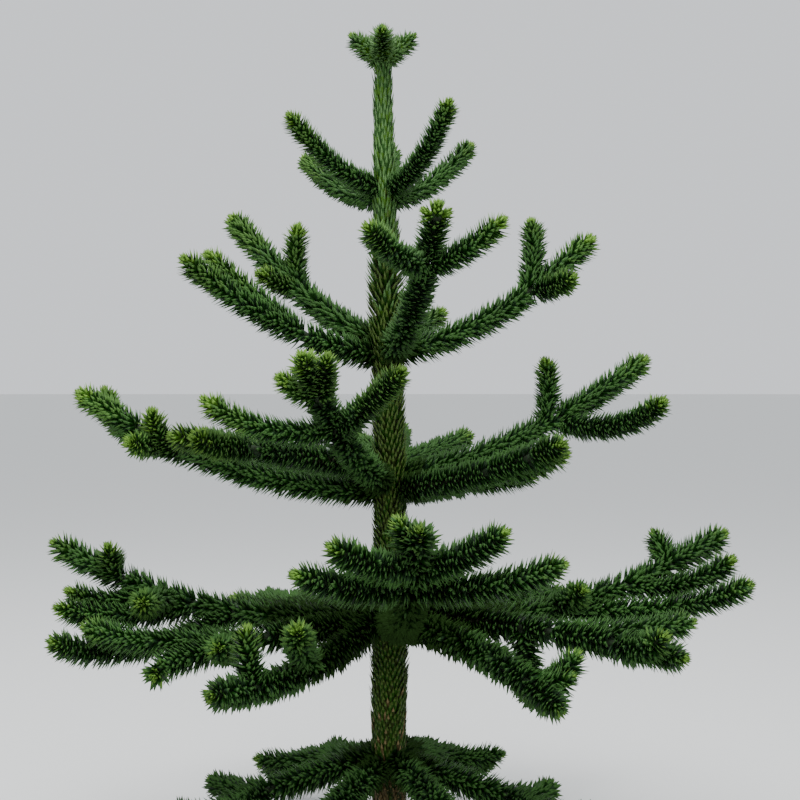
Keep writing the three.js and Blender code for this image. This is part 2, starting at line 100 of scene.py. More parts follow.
# The rings of arms, a year's growth apart, from the top down
RINGS = (
    Ring("top", height=1.64, bough=0, girth=0.72, slenderness=0.82, arms=(
        Arm("left", 203, 0.258, 0.176, 0.038, 0.012),
        Arm("back_left", 141, 0.281, 0.134, 0.035, -0.01),
        Arm("front_right", 318, 0.22, 0.205, 0.05, 0.008),
        Arm("right", 25, 0.25, 0.16, 0.04, -0.012),
        Arm("back", 86, 0.205, 0.145, 0.03, 0.01),
    )),
    Ring("upper", height=1.245, bough=0, girth=1, slenderness=1, arms=(
        Arm("left", 193, 0.515, 0.245, 0.05, -0.012, forks=(
            Fork(0.36, -18, 0.26, 0.215, 0),
        )),
        Arm("back_left", 153, 0.47, 0.358, 0.045, 0.012, forks=(
            Fork(0.5, -75, 0.01, 0.18), Fork(0.5, 45, 0.115, 0.05),
        )),
        Arm("front", 290, 0.36, 0.335, 0.085, 0.004, forks=(
            Fork(0.67, -60, 0.22, 0.082, 0.04), Fork(0.65, 54, 0.195, 0.12, 0.032),
            Fork(0.9, -80, 0.04, 0.025, 0.004), Fork(0.9, 80, 0.04, 0.025, 0.004),
        )),
        Arm("right", 5, 0.53, 0.305, 0.06, -0.006, forks=(
            Fork(0.62, 66, 0.048, 0.205, 0.016), Fork(0.64, -45, 0.14, 0.04),
        )),
        Arm("back", 84, 0.48, 0.17, 0.035, -0.01, pairs=1, span=0.15, lift=0.06),
    )),
    Ring("middle", height=0.92, bough=0.42, girth=1, slenderness=1, arms=(
        Arm("left", 180, 0.79, 0.255, 0.07, -0.024, forks=(
            Fork(0.77, -40, 0.145, 0.113, 0.045), Fork(0.62, 40, 0.103, 0.115, 0.04),
            Fork(0.68, 55, 0.14, 0.01),
        )),
        Arm("near_left", 203, 0.57, 0.095, 0, 0.028, forks=(
            Fork(0.62, 22, 0.19, 0.04), Fork(0.6, -50, 0.17, 0.04),
        )),
        Arm("front_left", 244, 0.455, 0.325, 0.055, -0.008, forks=(
            Fork(0.55, -60, 0.32, 0.08, 0.052), Fork(0.55, 73, 0.22, 0.146, 0.027),
            Fork(0.73, 39, 0.09, 0.112), Fork(0.74, -62, 0.105, 0.062, 0.014),
        )),
        Arm("front_right", 326, 0.5, 0.13, 0.02, -0.02, forks=(
            Fork(0.55, 38, 0.17, 0.03), Fork(0.78, 30, 0.1, 0.02),
        )),
        Arm("right", 11, 0.685, 0.31, 0.055, 0.008, forks=(
            Fork(0.55, 63, 0.018, 0.186, 0.005), Fork(0.6, -46, 0.31, 0.06, 0.052),
        )),
        Arm("back_right", 48, 0.56, 0.05, 0.025, -0.014, pairs=1, span=0.19, lift=0.03),
        Arm("back", 88, 0.62, 0.11, 0.03, 0.008, forks=(
            Fork(0.45, -38, 0.35, 0.075), Fork(0.55, 40, 0.2, 0.06),
        )),
        Arm("back_left", 134, 0.62, 0.12, 0.03, -0.008, pairs=1, span=0.2, lift=0.05),
    )),
    Ring("lower", height=0.585, bough=0.4, girth=1, slenderness=1.08, arms=(
        Arm("left", 176, 0.87, 0.17, 0.088, 0.014, forks=(
            Fork(0.75, 35, 0.052, 0.105, 0.03), Fork(0.43, 34, 0.485, -0.025, 0.065),
            Fork(0.54, 21, 0.36, 0.015, 0.035), Fork(0.62, 85, 0.22, 0.015),
            Fork(0.66, 21, 0.232, 0.022, 0.037),
        )),
        Arm("near_left", 203, 0.625, -0.068, -0.034, -0.032, forks=(
            Fork(0.5, -15, 0.452, 0.039, 0.021), Fork(0.6, 50, 0.16, 0.02),
            Fork(0.93, 62, 0.062, -0.008, 0.004),
        )),
        Arm("front_left", 230, 0.62, -0.118, 0.054, 0.02, forks=(
            Fork(0.76, -60, 0.02, 0.15, 0.006), Fork(0.47, 34, 0.19, 0.128, -0.004),
        )),
        Arm("front", 275.5, 0.705, 0.272, 0.11, 0.02, forks=(
            Fork(0.82, -58, 0.23, 0.065, 0.03), Fork(0.8, 52, 0.228, 0.102, 0.026),
            Fork(0.72, -66, 0.292, 0.05, 0.033), Fork(0.71, 66, 0.342, 0.07, 0.038),
            Fork(0.89, -70, 0.055, 0.08),
        )),
        Arm("low_front_right", 306, 0.645, -0.108, -0.042, -0.022, forks=(
            Fork(0.69, 40, 0.165, 0.055, 0.05), Fork(0.8, 45, 0.11, 0.03),
        )),
        Arm("front_right", 330, 0.78, -0.05, -0.01, 0.012, forks=(
            Fork(0.46, -53, 0.155, -0.118, 0.06), Fork(0.55, 24, 0.35, 0.035, 0.01),
            Fork(0.75, -22, 0.17, 0.05, 0.025),
        )),
        Arm("right", 5, 0.87, 0.215, 0.085, -0.008, forks=(
            Fork(0.8, 130, 0.055, 0.095), Fork(0.47, -23, 0.485, 0.088, 0.043),
            Fork(0.45, -63, 0.13, 0.07, 0), Fork(0.66, -20, 0.281, 0.089, 0.04),
        )),
        Arm("back_right", 58, 0.82, -0.04, 0.005, 0.008, pairs=2, span=0.27, lift=0.02),
        Arm("back_left", 118, 0.84, -0.06, 0.005, -0.008, pairs=2, span=0.28, lift=0.02),
    )),
    Ring("bottom", height=0.228, bough=0.4, girth=1, slenderness=1.04, arms=(
        Arm("left", 196, 0.56, -0.152, -0.015, 0.008, pairs=2, span=0.21),
        Arm("front_left", 240, 0.54, -0.152, -0.015, -0.008, pairs=2, span=0.2),
        Arm("front_right", 297, 0.55, -0.152, -0.015, 0.008, pairs=2, span=0.21),
        Arm("right", 346, 0.54, -0.152, -0.015, -0.008, pairs=2, span=0.2),
        Arm("back_right", 62, 0.51, -0.152, -0.02, 0.008, pairs=2, span=0.18),
        Arm("back_left", 125, 0.56, -0.152, -0.02, -0.004, pairs=2, span=0.21),
    )),
)

# The crown: this year's short shoots round the leader's tip
CROWN_HEIGHT = 1.972
CROWN_SCALE = 0.72
CROWN_FULLNESS = 0.88             # the crown's leaves stand closer than its slim shoots ask
CROWN_BUD = 0.004
CROWN_HEADINGS = (2, 65, 122, 178, 270)
CROWN_SHOOT = Fork(0, 0, 0.084, 0.072, 0.008)

# Leaves
GOLDEN_ANGLE = math.pi * (3 - math.sqrt(5))
LEAF_STRAY = 0.1                  # radians that a leaf strays round its shoot
LEAF_SHIFT = 0.8                  # share of the spacing that it strays along it
LEAF_TILT = math.radians(6)       # spread of its tilt, roll and swing
LEAF_UNEVENNESS = 0.1             # share by which leaves differ in length
LEAF_SINK = 0.002                 # depth of a leaf's root in the wood
LAST_LEAF = 0.0005                # the last leaves stand this far before the wood's end
CLEARANCE = 0.003                 # air between a leaf and another limb's wood
CLEAR_SHARES = (0.5, 1)           # where along a leaf that is tested
WOOD_NEARBY = 0.03                # wood further off than this isn't looked at
TIP_ZONE = 0.022                  # the length over which the leaves close round a tip
TIP_SPREAD = math.radians(34)
TIP_LEAF = 0.026                  # length of the leaves that close round a tip
BUD_LEAVES = 16                   # leaves that close over the end of the wood
BUD_SPREAD = math.radians(5)
PRESSED_LEAF = 0.05               # length of the leaves that lie close to the leader
PRESSED_SPREAD = math.radians(30)
POINT_EXCESS = 1.1                # points are thin, so they reach beyond the outline this much
WOOD_SAMPLE = 0.006               # spacing of the points that stand for the wood
LEAF_SEED = 100
LEAF_SHEEN = 0.15                 # specular level of the leaves, and of the shaded ones
INNER_SHEEN = 0.04

# The trunk's own leaves
TRUNK_LEAF_FOOT = 0.06            # height of the lowest
TRUNK_LEAF_WIDTH = 0.0125
TRUNK_LEAF_LENGTHS = (0.85, 1.1)  # shares of the full length
TRUNK_POINT_EXCESS = 1.3
TRUNK_LEAF_SLOPES = (0.05, 0.95)  # sines of the least and the widest spread
LONG_LEAVES = (0.9, 1.3)          # the heights between which they grow longer
DRIED_TOP = 0.22                  # where dried leaves end
LEADER_FOOT = 1.42                # where the leader's leaves begin
DRIED_STRAY = 0.075               # unevenness of these two heights
LEADER_STRAY = 0.1
TRUNK_CLEAR_SHARES = (0.1, 0.6)   # where along a leaf it is tested against the limbs
NO_SHOOT = -1                     # stands for the trunk among the owners of the wood

# The tree's kinds of leaves: the materials of two shades of blade and of the tip
LEAF_KINDS = {
    # the inner kind: darker colours near the trunk, as painted shade
    "inner": ("inner_leaf", "inner_leaf", "inner_leaf_tip"),
    # the old kind's second shade is a painted sheen
    "old": ("old_leaf", "dusky_leaf", "old_leaf_tip"),
    "young": ("young_leaf", "old_leaf", "young_leaf_tip"),
    "fresh": ("fresh_leaf", "young_leaf", "fresh_leaf_tip"),
    "leader": ("leader_leaf", "fresh_leaf", "leader_leaf_tip"),
    "trunk": ("trunk_leaf", "dull_leaf", "trunk_leaf_tip"),
    "dried": ("dried_leaf", "dull_leaf", "dried_leaf_tip"),
}
SECOND_SHADE = 0.35               # share of leaves in the second shade

# How far fresh leaves reach from a tip, and young ones past them
FRESH_LENGTHS = (0.008, 0.02)
YOUNG_LENGTHS = (0.03, 0.06)
KIND_STRAY = 0.006                # unevenness of the fresh leaves' reach
YOUNG_STRAY = 3                   # times that for young leaves
INNER_STRAY = 20                  # and for each metre that inner leaves reach

# Factors of those lengths, by ring, by side of the tree and by the height of the tip
RING_FRESHNESS = {"crown": 0.15, "top": 0.8, "upper": 1.2, "middle": 1.1, "lower": 0.45, "bottom": 0.3}
SIDE_FRESHNESS = {"left": 1.8, "right": 0.8, "top": 1}
# Painted shade: shoots whose tips lie lower than these heights, in shade, get shorter runs of the lighter
# fresh and young leaves
SHADED_HEIGHTS = (0.5, 0.62)      # from the least factor to a full one
SHADED_FRESHNESS = 0.3

# How far from the trunk the inner leaves reach, by ring, and by arm where that differs; their darker colours
# are painted shade
INNER_REACHES = {"crown": 0, "top": 0, "upper": 0.06, "middle": 0.08, "lower": 0.3, "bottom": 0.1,
                 "lower_front": 0.56, "lower_back_left": 0.5, "lower_back_right": 0.5}

# Camera and lights
EYE = (0.025, -3.6, 1.15)
EYE_PITCH = math.radians(-0.4)
LENS = 64.8
SENSOR = 36
SKY_COLOUR = (0.93, 0.96, 1, 1)
FLOOR_RADIUS = 400
LIGHTS = (                        # name, place, width, power
    ("top_light", (-0.6, -0.6, 6), 4.5, 420),
    ("front_light", (1.5, -5, 3.5), 3, 70),
)
LIGHTS_AIM = (0, 0, 1)            # the tree's middle


def length_property(name, description, default, **limits):
    """A length that a user can change."""
    return bpy.props.FloatProperty(
        name=name, description=description, default=default, subtype="DISTANCE", unit="LENGTH",
        precision=5, **limits)


def share_property(name, description, default, least, most):
    """A share that a user can change."""
    return bpy.props.FloatProperty(
        name=name, description=description, default=default, min=least, max=most, subtype="FACTOR")


def colour_property(name, description, default):
    """A colour that a user can change."""
    return bpy.props.FloatVectorProperty(
        name=name, description=description, default=default, size=3, min=0, max=1,
        subtype="COLOR")


class TreeSizes(bpy.types.PropertyGroup):
    """Sizes of the leaves and the bark."""

    leaf_spacing: length_property(
        "Leaf spacing", "Length of shoot for each leaf", 0.00057, min=0.0003, max=0.01)
    leaf_spread: bpy.props.FloatProperty(
        name="Leaf spread", description="Angle between a leaf and its shoot",
        default=math.radians(66), subtype="ANGLE", unit="ROTATION")
    leaf_width: share_property("Leaf width", "Width of a leaf as a share of its length", 0.33, 0.1, 0.6)
    trunk_leaf_length: length_property("Trunk leaf length", "Length of the leaves on the trunk", 0.036)
    trunk_leaf_gap: length_property("Trunk leaf gap", "Distance between the leaves on the trunk", 0.0105)
    bark_relief: length_property("Bark relief", "Height of the leaf bases on the bark", 0.003)
    twig_thickness: share_property(
        "Twig thickness", "Share of a shoot's thickness that is wood", 0.8, 0.4, 1)


class TreeColours(bpy.types.PropertyGroup):
    """Colours of the leaves and the bark."""

    # Painted shade: the inner leaves and their points are darker than the old ones because the foliage near
    # the trunk lies in shade
    inner_leaf: colour_property("Inner leaf", "Shaded leaves near the trunk", (0.004, 0.02, 0.002))
    inner_leaf_tip: colour_property("Inner leaf tip", "Points of inner leaves", (0.019, 0.048, 0.009))
    old_leaf: colour_property("Old leaf", "Most leaves", (0.006, 0.039, 0.003))
    # Painted sheen: a paler, bluer shade dealt out at random among the old leaves, standing in for the sky's
    # reflection on them
    dusky_leaf: colour_property("Dusky leaf", "Old leaves with a bluish bloom", (0.018, 0.05, 0.017))
    # The tip colours, here and below, are lighter than their blades: partly the points' own paler colour,
    # partly painted light, the point lit and the root darker as light falls into the foliage
    old_leaf_tip: colour_property("Old leaf tip", "Points of the old leaves", (0.041, 0.112, 0.023))
    young_leaf: colour_property("Young leaf", "Leaves near the tips", (0.015, 0.058, 0.006))
    young_leaf_tip: colour_property("Young leaf tip", "Points of young leaves", (0.062, 0.145, 0.027))
    fresh_leaf: colour_property("Fresh leaf", "Leaves at the tips", (0.055, 0.14, 0.012))
    fresh_leaf_tip: colour_property("Fresh leaf tip", "Points of fresh leaves", (0.125, 0.25, 0.035))
    leader_leaf: colour_property("Leader leaf", "Leaves on the leader", (0.024, 0.08, 0.013))
    leader_leaf_tip: colour_property("Leader leaf tip", "Their points", (0.066, 0.145, 0.04))
    trunk_leaf: colour_property("Trunk leaf", "Leaves on the lower trunk", (0.013, 0.052, 0.002))
    dull_leaf: colour_property("Dull leaf", "Older leaves on the trunk", (0.018, 0.03, 0.003))
    trunk_leaf_tip: colour_property("Trunk leaf tip", "Their points", (0.05, 0.09, 0.014))
    dried_leaf: colour_property("Dried leaf", "Dead leaves at the foot", (0.085, 0.062, 0.024))
    dried_leaf_tip: colour_property("Dried leaf tip", "Their points", (0.17, 0.13, 0.055))
    bark: colour_property("Bark", "Trunk and boughs", (0.035, 0.032, 0.013))
    bark_shadow: colour_property("Bark shadow", "Hollows of the bark", (0.012, 0.012, 0.006))
    floor: colour_property("Floor", "The plain floor", (0.74, 0.75, 0.74))


# The plan of the tree
def seeded(seed):
    """A generator of repeatable random numbers between 0 and 1."""
    state = seed
    while True:
        state = (state * SEED_FACTOR + SEED_STEP) % SEED_RANGE
        yield state / SEED_RANGE


def compass(heading):
    """The level direction of a heading in degrees."""
    return np.array((math.cos(math.radians(heading)), math.sin(math.radians(heading)), 0))


def trunk_at(z):
    """The trunk's shift, radius and leaf reach at a height, or at many."""
    rows = (TRUNK_SHIFTS, TRUNK_RADII, TRUNK_LEAF_REACHES)
    return tuple(np.interp(z, TRUNK_HEIGHTS, row) for row in rows)


def unit(vectors):
    """Vectors of length one."""
    return vectors / np.linalg.norm(vectors, axis=-1, keepdims=True)


class Shoot:
    """A shoot's middle line with its wood, its leaves' reach and the node it stands for."""

    def __init__(self, foot, heading, spec, lead, order, girth, slenderness):
        self.foot = np.array(foot, float)
        self.tip = self.foot + compass(heading) * spec.reach + (0, 0, spec.rise)
        self.bend = (self.foot + self.tip) / 2 + lead - (0, 0, 2 * spec.sag)
        self.wood_radii = [radius * girth for radius in WOOD_RADII[order]]
        self.reaches = [reach * slenderness for reach in LEAF_REACHES[order]]
        self.slenderness = slenderness
        self.pressed = 0
        self.steps = np.linspace(0, 1, LINE_STEPS)
        points = self.line(self.steps)
        lengths = np.linalg.norm(np.diff(points, axis=0), axis=1)
        self.run = np.concatenate(((0,), np.cumsum(lengths)))
        self.length = self.run[-1]
        across = np.cross(self.bend - self.foot, self.tip - self.bend)
        if np.linalg.norm(across) < STRAIGHT:
            across = np.cross(self.tip - self.foot, (0, 1, 0))
        self.side = unit(across)

    def mark(self, ring, hand, node, bough_node=None, limb=False):
        """Notes the ring, the side of the tree, the nodes, and whether it is an arm's own line."""
        self.ring = ring
        self.hand = hand
        self.node = node
        self.bough_node = bough_node
        self.limb = limb

    def line(self, t):
        """Points on the middle line."""
        t = np.asarray(t, float)[:, None]
        return (1 - t) ** 2 * self.foot + 2 * t * (1 - t) * self.bend + t ** 2 * self.tip

    def at(self, distances):
        """Points, directions and the two axes across, at distances along the shoot."""
        t = np.interp(distances, self.run, self.steps)
        share = t[:, None]
        along = unit((1 - share) * (self.bend - self.foot) + share * (self.tip - self.bend))
        side = np.broadcast_to(self.side, along.shape)
        return self.line(t), along, side, np.cross(along, side)

    def wood(self, distances):
        """Radii of the wood at distances along the shoot, rounded off at its end."""
        foot, tip = self.wood_radii
        radii = foot + (tip - foot) * np.asarray(distances) / self.length
        left = (self.wood_end - distances) / (TIP_ZONE * self.slenderness / 2)
        return radii * np.sqrt(1 - (1 - np.clip(left, THINNEST_END, 1)) ** 2)

    def reach(self, distances):
        """How far the leaves reach from the middle line."""
        foot, tip = self.reaches
        return foot + (tip - foot) * np.asarray(distances) / self.length

    @property
    def wood_end(self):
        """Where the wood ends, so that the last leaves end at the shoot's tip."""
        return self.length - TIP_LEAF * self.slenderness


def forks_of(spec, random):
    """The side shoots of an arm: those given, or pairs dealt out by the seeded rule."""
    if spec.forks:
        return spec.forks
    forks = []
    for pair in range(spec.pairs):
        for side in (-1, 1):
            place = PAIR_PLACE + PAIR_STEP * pair + PAIR_SPREADS["place"] * next(random)
            reach = spec.span * (1 - PAIR_SHORTER * pair) * about(PAIR_SPREADS["reach"], random)
            turn = side * (PAIR_TURN + PAIR_SPREADS["turn"] * next(random))
            lift = spec.lift * about(PAIR_SPREADS["lift"], random)
            forks.append(Fork(place, turn, reach, lift))
    return forks


def about(spread, random):
    """A factor near one."""
    return 1 - spread + 2 * spread * next(random)


def side_shoot(parent, spec, ring):
    """A side shoot, led off along its parent."""
    point, along, _, _ = parent.at(np.array((spec.at * parent.length,)))
    heading = math.degrees(math.atan2(along[0, 1], along[0, 0])) + spec.turn
    lead = along[0] * LEAD * math.hypot(spec.reach, spec.rise)
    return Shoot(point[0], heading, spec, lead, 1, ring.girth, ring.slenderness)


def plan_tree():
    """Every shoot of the tree, marked with its ring, its side of the tree and its node."""
    random = seeded(PLAN_SEED)
    shoots = []
    for ring in RINGS:
        for spec in ring.arms:
            height = ring.height + spec.step
            foot = (trunk_at(height)[0], 0, height)
            limb = Shoot(foot, spec.heading, spec, 0, 0, ring.girth, ring.slenderness)
            sides = [side_shoot(limb, each, ring) for each in forks_of(spec, random)]
            limb.bough = ring.bough
            hand = "right" if math.cos(math.radians(spec.heading)) > 0 else "left"
            name = f"{ring.name}_{spec.name}"
            bough_node = f"{name}_bough" if ring.bough else None
            for shoot in (limb, *sides):
                shoot.mark(ring.name, hand, f"{name}_foliage", bough_node, shoot is limb)
            shoots += [limb, *sides]
    return shoots + plan_crown()


def plan_crown():
    """The crown's stem and its short shoots."""
    shift = trunk_at(TRUNK_TOP)[0]
    rise = CROWN_HEIGHT + CROWN_SHOOT.rise + CROWN_BUD - TRUNK_TOP
    straight = Fork(0, 0, 0, rise, 0)
    stem = Shoot((shift, 0, TRUNK_TOP), 0, straight, 0, 0, CROWN_SCALE, CROWN_SCALE)
    stem.pressed = CROWN_HEIGHT - TRUNK_TOP
    shoots = [stem]
    foot = (shift, 0, CROWN_HEIGHT)
    for heading in CROWN_HEADINGS:
        shoots.append(Shoot(foot, heading, CROWN_SHOOT, 0, 1, CROWN_SCALE, CROWN_FULLNESS))
    for shoot in shoots:
        shoot.mark("crown", "top", "crown_foliage")
    return shoots


SHOOTS = plan_tree()


# Modelling helpers
def start_afresh():
    """Nothing is selected, and Blender is in object mode."""
    if bpy.context.object and bpy.context.object.mode != "OBJECT":
        bpy.ops.object.mode_set(mode="OBJECT")
    bpy.ops.object.select_all(action="DESELECT")


def pick(piece):
    """Only this piece is selected, and it is the active one."""
    start_afresh()
    piece.select_set(True)
    bpy.context.view_layer.objects.active = piece


def apply_modifiers(piece):
    """Every modifier of the piece becomes part of its mesh."""
    pick(piece)
    for modifier in list(piece.modifiers):
        bpy.ops.object.modifier_apply(modifier=modifier.name)


def edit_all(piece):
    """Edit mode, with all of the piece selected."""
    pick(piece)
    bpy.ops.object.mode_set(mode="EDIT")
    bpy.ops.mesh.select_all(action="SELECT")


def face_outwards(piece):
    """All faces of a closed mesh turned outwards."""
    edit_all(piece)
    bpy.ops.mesh.normals_make_consistent(inside=False)
    bpy.ops.object.mode_set(mode="OBJECT")


def place_in_mesh(piece):
    """The object's place, turn and size pass into its mesh."""
    pick(piece)
    bpy.ops.object.transform_apply(location=True, rotation=True, scale=True)


def extrude(step):
    """What is selected, pulled out by a step."""
    bpy.ops.mesh.extrude_region_move(TRANSFORM_OT_translate={"value": step})


def finished(piece, name, slot, *nodes):
    """A piece named and riding on the tree, with the nodes it stands for hidden. The slot is not used."""
    piece.name = name
    piece.data.name = name
    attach(piece, "root")
    if nodes:
        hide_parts(*nodes)
    return piece


def coordinates(mesh):
    """A mesh's vertices as an array."""
    values = np.empty(len(mesh.vertices) * 3)
    mesh.vertices.foreach_get("co", values)
    return values.reshape(-1, 3)


# Materials
MIX_FIRST, MIX_SECOND, MIX_RESULT = 6, 7, 2     # a mix node's colour sockets, by number
LEAF_PATCHES = 9                  # scale and depth of the leaves' changes of shade
LEAF_PATCH_DEPTH = 0.22


def shader_group(name, inputs, outputs):
    """A new shader node group with its sockets, or the one there is, and whether it is new."""
    if name in bpy.data.node_groups:
        return bpy.data.node_groups[name], False
    group = bpy.data.node_groups.new(name, "ShaderNodeTree")
    for label, kind in inputs:
        group.interface.new_socket(name=label, in_out="INPUT", socket_type=kind)
    for label, kind in outputs:
        group.interface.new_socket(name=label, in_out="OUTPUT", socket_type=kind)
    return group, True


def add_node(tree, kind, inputs=(), **settings):
    """A new shader node, set up and with its sockets filled."""
    node = tree.nodes.new(kind)
    for name, value in settings.items():
        setattr(node, name, value)
    fill_sockets(tree, node, dict(inputs))
    return node


def fill_sockets(tree, node, inputs):
    """Gives each of the sockets a value, or links it to another node's output."""
    for socket, value in inputs.items():
        if isinstance(value, bpy.types.NodeSocket):
            tree.links.new(value, node.inputs[socket])
        else:
            node.inputs[socket].default_value = value


def noise_in(group, **settings):
    """A group's inputs, and noise from place to place at the scale that is given."""
    given = add_node(group, "NodeGroupInput").outputs
    place = add_node(group, "ShaderNodeTexCoord").outputs["Object"]
    noise = add_node(group, "ShaderNodeTexNoise", {
        "Vector": place, "Scale": given["Scale"], **settings}).outputs["Fac"]
    return given, noise


def leaf_shade_group():
    """Leaves' soft changes of shade and gloss from place to place."""
    group, new = shader_group(
        "leaf_shade",
        (("Colour", "NodeSocketColor"), ("Scale", "NodeSocketFloat"), ("Depth", "NodeSocketFloat")),
        (("Colour", "NodeSocketColor"), ("Roughness", "NodeSocketFloat")))
    if not new:
        return group
    given, noise = noise_in(group, Detail=4)
    centred = add_node(group, "ShaderNodeMapRange", {
        "Value": noise, "From Min": 0.3, "From Max": 0.7, "To Min": -1, "To Max": 1}).outputs["Result"]
    factor = add_node(group, "ShaderNodeMath", {
        0: centred, 1: given["Depth"], 2: 1}, operation="MULTIPLY_ADD").outputs["Value"]
    shade = add_node(group, "ShaderNodeVectorMath", {
        0: given["Colour"], "Scale": factor}, operation="SCALE").outputs["Vector"]
    gloss = add_node(group, "ShaderNodeMapRange", {
        "Value": centred, "From Min": -1, "From Max": 1, "To Min": 0.45, "To Max": 0.62}).outputs["Result"]
    add_node(group, "NodeGroupOutput", {"Colour": shade, "Roughness": gloss})
    return group


def bark_grain_group():
    """The bark's colour, roughness and fine relief."""
    group, new = shader_group(
        "bark_grain",
        (("Light", "NodeSocketColor"), ("Dark", "NodeSocketColor"), ("Scale", "NodeSocketFloat")),
        (("Colour", "NodeSocketColor"), ("Roughness", "NodeSocketFloat"), ("Height", "NodeSocketFloat")))
    if not new:
        return group
    given, noise = noise_in(group, Detail=8, Roughness=0.65)
    contrast = add_node(group, "ShaderNodeMapRange", {
        "Value": noise, "From Min": 0.38, "From Max": 0.62}).outputs["Result"]
    colour = add_node(group, "ShaderNodeMix", {
        "Factor": contrast, MIX_FIRST: given["Dark"], MIX_SECOND: given["Light"]},
        data_type="RGBA").outputs[MIX_RESULT]
    rough = add_node(group, "ShaderNodeMapRange", {
        "Value": contrast, "To Min": 0.95, "To Max": 0.75}).outputs["Result"]
    add_node(group, "NodeGroupOutput", {"Colour": colour, "Roughness": rough, "Height": noise})
    return group


def plain_material(name):
    """A new material and its shader, or the one there is and no shader."""
    if name in bpy.data.materials:
        return bpy.data.materials[name], None
    material = bpy.data.materials.new(name)
    material.use_nodes = True
    return material, material.node_tree.nodes["Principled BSDF"]


def leaf_material(name, colour, sheen):
    """A stiff waxy leaf."""
    material, shader = plain_material(name)
    if shader is None:
        return material
    tree = material.node_tree
    shade = add_node(tree, "ShaderNodeGroup", {
        "Colour": (*colour, 1), "Scale": LEAF_PATCHES, "Depth": LEAF_PATCH_DEPTH},
        node_tree=leaf_shade_group()).outputs
    fill_sockets(tree, shader, {
        "Base Color": shade["Colour"], "Roughness": shade["Roughness"], "Specular IOR Level": sheen})
    return material


def bark_material(name, light, dark, scale, depth):
    """Rough bark."""
    material, shader = plain_material(name)
    if shader is None:
        return material
    tree = material.node_tree
    grain = add_node(tree, "ShaderNodeGroup", {
        "Light": (*light, 1), "Dark": (*dark, 1), "Scale": scale},
        node_tree=bark_grain_group()).outputs
    bump = add_node(tree, "ShaderNodeBump", {"Height": grain["Height"], "Distance": depth})
    fill_sockets(tree, shader, {
        "Base Color": grain["Colour"], "Roughness": grain["Roughness"], "Normal": bump.outputs["Normal"]})
    return material


# Bark
TRUNK_SIDES = 28
TRUNK_ROW = 0.018                 # height of a row of faces before they are made finer
TRUNK_FINENESS = 2
LOWEST_CUSHION = 0.02
CUSHION_WIDTH = 0.0072            # half the width and height of a leaf base on the bark
CUSHION_HEIGHT = 0.011
SKIN_SHARE = 0.9                  # only points further out than this share of the radius rise
LIMB_FINENESS = 8


def trunk_leaf_roots(gap):
    """Heights and bearings of the leaf bases, wound up the trunk a gap apart."""
    heights = []
    z = LOWEST_CUSHION
    while z < TRUNK_TOP:
        heights.append(z)
        radius = trunk_at(z)[1]
        z += gap ** 2 / (math.tau * radius)
    return np.array(heights), np.arange(len(heights)) * GOLDEN_ANGLE


def model_trunk(sizes):
    """The trunk, pulled up ring by ring from its flat foot, with its leaf bases raised."""
    start_afresh()
    bpy.ops.mesh.primitive_circle_add(vertices=TRUNK_SIDES, radius=TRUNK_RADII[0], fill_type="NGON")
    trunk = bpy.context.object
    edit_all(trunk)
    rows = round(TRUNK_TOP / TRUNK_ROW)
    shift, radius, _ = trunk_at(0)
    for row in range(1, rows + 1):
        z = TRUNK_TOP * row / rows
        next_shift, next_radius, _ = trunk_at(z)
        extrude((next_shift - shift, 0, TRUNK_TOP / rows))
        grown = next_radius / radius
        bpy.ops.transform.resize(value=(grown, grown, 1), center_override=(next_shift, 0, z))
        shift, radius = next_shift, next_radius
    bpy.ops.object.mode_set(mode="OBJECT")
    face_outwards(trunk)
    finer = trunk.modifiers.new("finer", "SUBSURF")
    finer.subdivision_type = "SIMPLE"
    finer.levels = finer.render_levels = TRUNK_FINENESS
    apply_modifiers(trunk)
    raise_leaf_bases(trunk.data, sizes)
    return trunk


def raise_leaf_bases(mesh, sizes):
    """The bark's relief: a low four-sided cushion under each leaf."""
    points = coordinates(mesh)
    shift, radius, _ = trunk_at(points[:, 2])
    bearings = np.arctan2(points[:, 1], points[:, 0] - shift)
    heights, turns = trunk_leaf_roots(sizes.trunk_leaf_gap)
    raised = np.zeros(len(points))
    for height, turn in zip(heights, turns):
        near = np.abs(points[:, 2] - height) < CUSHION_HEIGHT
        apart = (bearings[near] - turn + math.pi) % math.tau - math.pi
        across = np.abs(apart) * radius[near] / CUSHION_WIDTH
        along = np.abs(points[near, 2] - height) / CUSHION_HEIGHT
        raised[near] = np.maximum(raised[near], 1 - across - along)
    on_skin = np.hypot(points[:, 0] - shift, points[:, 1]) > radius * SKIN_SHARE
    fade = np.clip(points[:, 2] / CUSHION_HEIGHT, 0, 1) * on_skin * sizes.bark_relief
    points[:, 0] += raised * fade * np.cos(bearings)
    points[:, 1] += raised * fade * np.sin(bearings)
    mesh.vertices.foreach_set("co", points.ravel())
    mesh.update()


